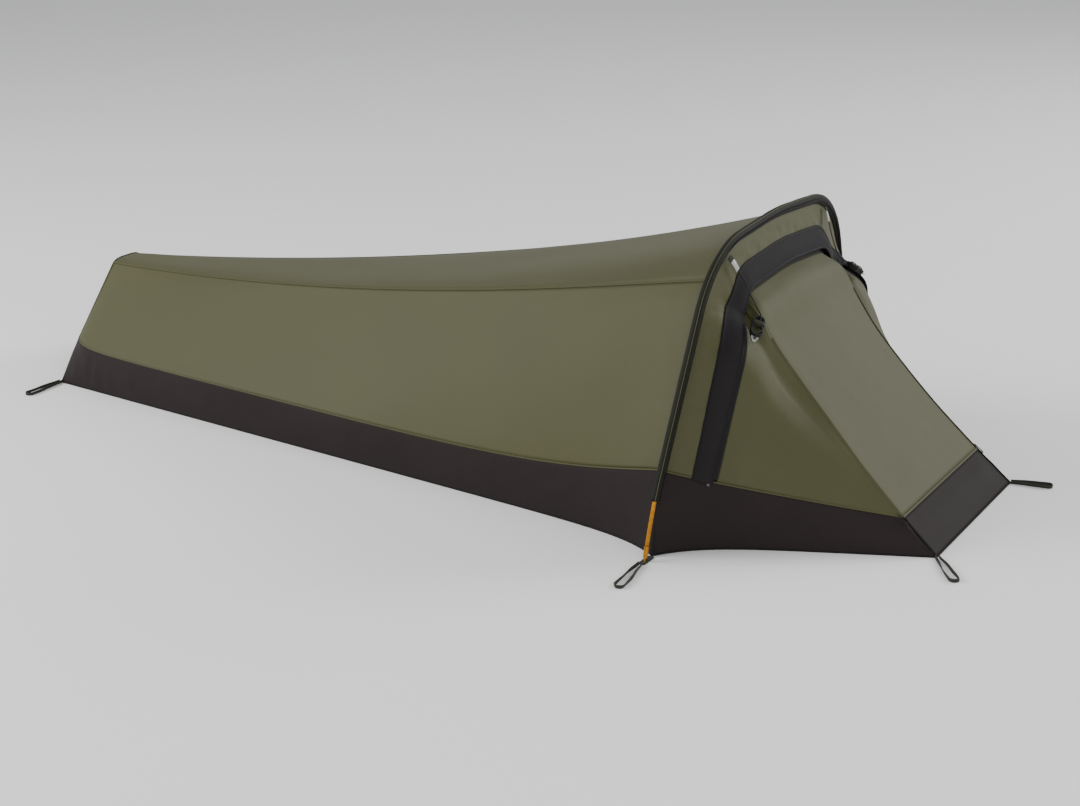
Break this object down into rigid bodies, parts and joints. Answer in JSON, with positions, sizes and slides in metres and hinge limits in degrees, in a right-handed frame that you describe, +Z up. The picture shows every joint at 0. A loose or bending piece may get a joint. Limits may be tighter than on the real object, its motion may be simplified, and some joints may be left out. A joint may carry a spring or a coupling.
{
  "type": "bivy sack",
  "caption": "Single-hoop bivy shelter, pitched: bathtub floor, tapered canopy, sleeved pole hoop at the head, arched zip door that drops over the nose, peg loops and wound guylines.",
  "frame": {"origin": "on the ground, under the middle of the box around the whole shelter", "axes": "+X towards the head end and its nose, +Y to the left side, +Z up"},
  "size_m": [2.4316, 1.4016, 0.6225],
  "materials": {
    "upper_fabric": "olive coated ripstop nylon, matt",
    "floor_fabric": "black coated nylon with a faint ripstop grid",
    "flap_fabric": "black plain woven nylon",
    "sleeve_fabric": "dark olive-black woven nylon",
    "pole_alloy": "gold anodised",
    "bare_metal": "bare, turned or stamped",
    "webbing": "dark grey woven webbing",
    "line": "black braided cord",
    "elastic": "braided elastic cord",
    "stay_rod": "glass fibre rod",
    "zip_plastic": "black coil zip"
  },
  "bodies": {
    "root": {"bathtub_foot": "floor_fabric", "bathtub_head_left": "floor_fabric", "bathtub_head_right": "floor_fabric", "bathtub_nose": "floor_fabric", "bathtub_side_left": "floor_fabric", "bathtub_side_right": "floor_fabric", "canopy_side_left": "upper_fabric", "canopy_side_right": "upper_fabric", "canopy_top": "upper_fabric", "door_side_left": "upper_fabric", "door_side_right": "upper_fabric", "door_zip": "zip_plastic", "eyelet_left": "bare_metal", "eyelet_right": "bare_metal", "ferrule_1": "bare_metal", "ferrule_2": "bare_metal", "ferrule_3": "bare_metal", "foot_panel": "upper_fabric", "foot_stay": "stay_rod", "groundsheet": "floor_fabric", "guy_tab_left": "webbing", "guy_tab_right": "webbing", "guyline_hank_left": "line", "guyline_hank_right": "line", "guyline_lead_left": "line", "guyline_lead_right": "line", "head_band": "upper_fabric", "line_adjuster_left": "bare_metal", "line_adjuster_right": "bare_metal", "pole_anchor_left": "webbing", "pole_anchor_right": "webbing", "pole_section_1": "pole_alloy", "pole_section_2": "pole_alloy", "pole_section_3": "pole_alloy", "pole_section_4": "pole_alloy", "pole_sleeve": "sleeve_fabric", "pole_tip_left": "bare_metal", "pole_tip_right": "bare_metal", "shock_cord": "elastic", "storm_flap": "flap_fabric"},
    "door": {"door_front": "upper_fabric"},
    "slider_right": {"zip_slider_right": "bare_metal"},
    "pull_right": {"zip_pull_right": "webbing"},
    "slider_left": {"zip_slider_left": "bare_metal"},
    "pull_left": {"zip_pull_left": "webbing"},
    "loop_foot_right": {"peg_loop_foot_right": "webbing"},
    "loop_foot_left": {"peg_loop_foot_left": "webbing"},
    "loop_hoop_right": {"peg_loop_hoop_right": "webbing"},
    "loop_hoop_left": {"peg_loop_hoop_left": "webbing"},
    "loop_nose_right": {"peg_loop_nose_right": "webbing"},
    "loop_nose_left": {"peg_loop_nose_left": "webbing"},
    "tie_right": {"tie_loop_right": "line"},
    "tie_left": {"tie_loop_left": "line"}
  },
  "joints": [
    {"name": "door_hinge", "type": "hinge", "parent": "root", "child": "door", "pos_m": [1.0464, 0, 0.07], "axis": [0, 1, 0], "range_deg": [0, 120]},
    {"name": "zip_slide_right", "type": "slide", "parent": "root", "child": "slider_right", "axis": [0.0352, 0.4016, 0.9151], "range_m": [0, 0.2]},
    {"name": "pull_swing_right", "type": "hinge", "parent": "slider_right", "child": "pull_right", "pos_m": [0.70914, -0.44187, 0.16698], "axis": [0.5484, -0.7733, 0.3182], "range_deg": [-30, 30]},
    {"name": "zip_slide_left", "type": "slide", "parent": "root", "child": "slider_left", "axis": [0.0352, -0.4016, 0.9151], "range_m": [0, 0.2]},
    {"name": "pull_swing_left", "type": "hinge", "parent": "slider_left", "child": "pull_left", "pos_m": [0.70914, 0.44187, 0.16698], "axis": [0.5484, 0.7733, 0.3182], "range_deg": [-30, 30]},
    {"name": "peg_lift_foot_right", "type": "hinge", "parent": "root", "child": "loop_foot_right", "pos_m": [-1.2046, -0.263, 0.008], "axis": [-1, 0, 0], "range_deg": [0, 90]},
    {"name": "peg_lift_foot_left", "type": "hinge", "parent": "root", "child": "loop_foot_left", "pos_m": [-1.2046, 0.263, 0.008], "axis": [1, 0, 0], "range_deg": [0, 90]},
    {"name": "peg_lift_hoop_right", "type": "hinge", "parent": "root", "child": "loop_hoop_right", "pos_m": [0.6214, -0.5745, 0.008], "axis": [-0.9927, -0.1203, 0], "range_deg": [0, 90]},
    {"name": "peg_lift_hoop_left", "type": "hinge", "parent": "root", "child": "loop_hoop_left", "pos_m": [0.6214, 0.5745, 0.008], "axis": [0.9927, -0.1203, 0], "range_deg": [0, 90]},
    {"name": "peg_lift_nose_right", "type": "hinge", "parent": "root", "child": "loop_nose_right", "pos_m": [1.1264, -0.244, 0.008], "axis": [-0.8164, -0.5775, 0], "range_deg": [0, 90]},
    {"name": "peg_lift_nose_left", "type": "hinge", "parent": "root", "child": "loop_nose_left", "pos_m": [1.1264, 0.244, 0.008], "axis": [0.2095, -0.9778, 0], "range_deg": [0, 90]},
    {"name": "tie_lift_right", "type": "hinge", "parent": "root", "child": "tie_right", "pos_m": [1.03565, -0.24682, 0.07387], "axis": [-0.154, -0.7389, -0.656], "range_deg": [0, 90]},
    {"name": "tie_lift_left", "type": "hinge", "parent": "root", "child": "tie_left", "pos_m": [1.03565, 0.24682, 0.07387], "axis": [0.154, -0.7389, 0.656], "range_deg": [0, 90]}
  ]
}
